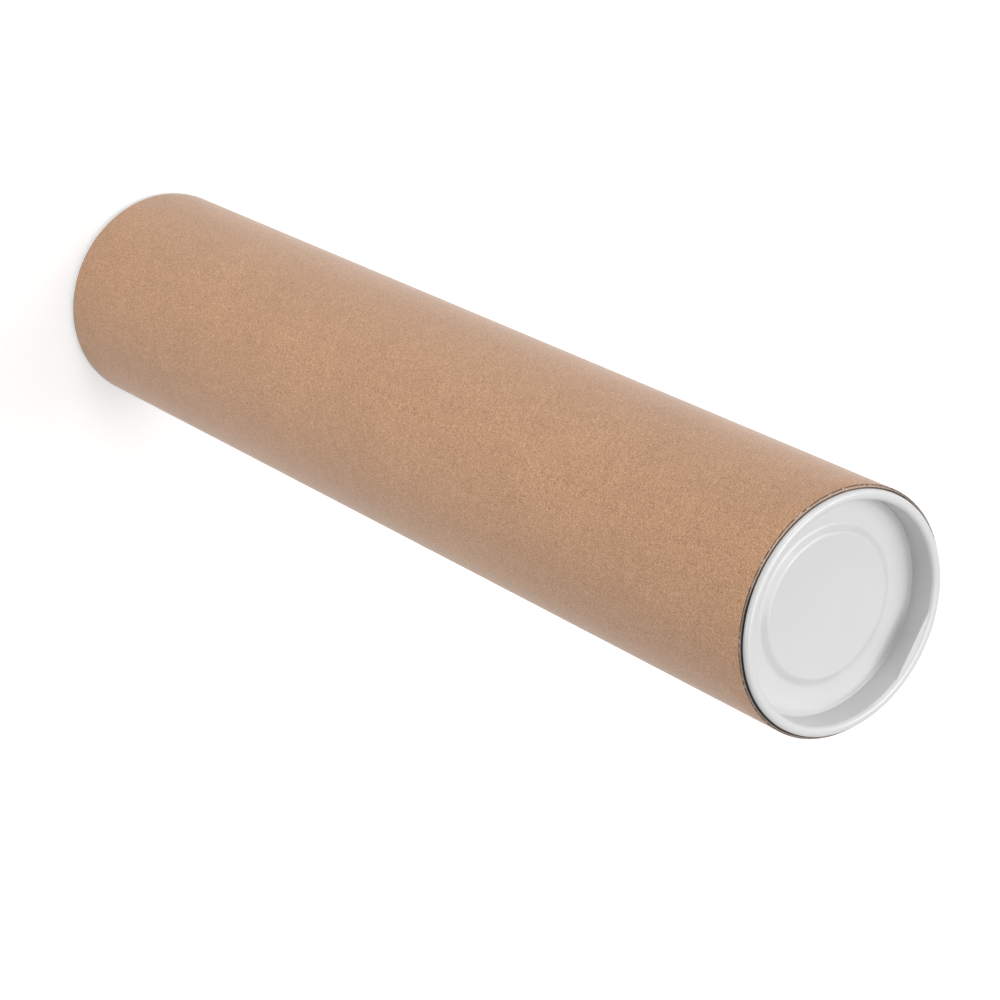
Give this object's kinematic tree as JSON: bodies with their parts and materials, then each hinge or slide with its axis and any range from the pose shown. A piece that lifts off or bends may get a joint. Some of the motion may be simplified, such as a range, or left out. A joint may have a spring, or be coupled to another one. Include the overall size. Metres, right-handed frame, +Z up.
{
  "type": "mailing tube",
  "caption": "Round kraft paperboard mailing tube closed at each end by a white push-in plastic plug with a flange, a recessed floor and a pull tab; holds rolled papers for posting.",
  "frame": {"origin": "centre of the lower plug's resting face, on the tube's axis", "axes": "+Z up along the tube's axis to the end that the picture shows, +Y towards that end's pull tab"},
  "size_m": [0.082, 0.082, 0.4044],
  "materials": {
    "kraft_board": "matte",
    "white_plastic": "satin"
  },
  "bodies": {
    "bottom_plug": {"bottom_plug": "white_plastic"},
    "tube": {"kraft_tube": "kraft_board"},
    "top_plug": {"top_plug": "white_plastic"}
  },
  "joints": [
    {"name": "tube_off_bottom_plug", "type": "slide", "parent": "bottom_plug", "child": "tube", "axis": [0, 0, 1], "range_m": [0, 0.04]},
    {"name": "top_plug_pull", "type": "slide", "parent": "tube", "child": "top_plug", "axis": [0, 0, 1], "range_m": [0, 0.04]}
  ]
}
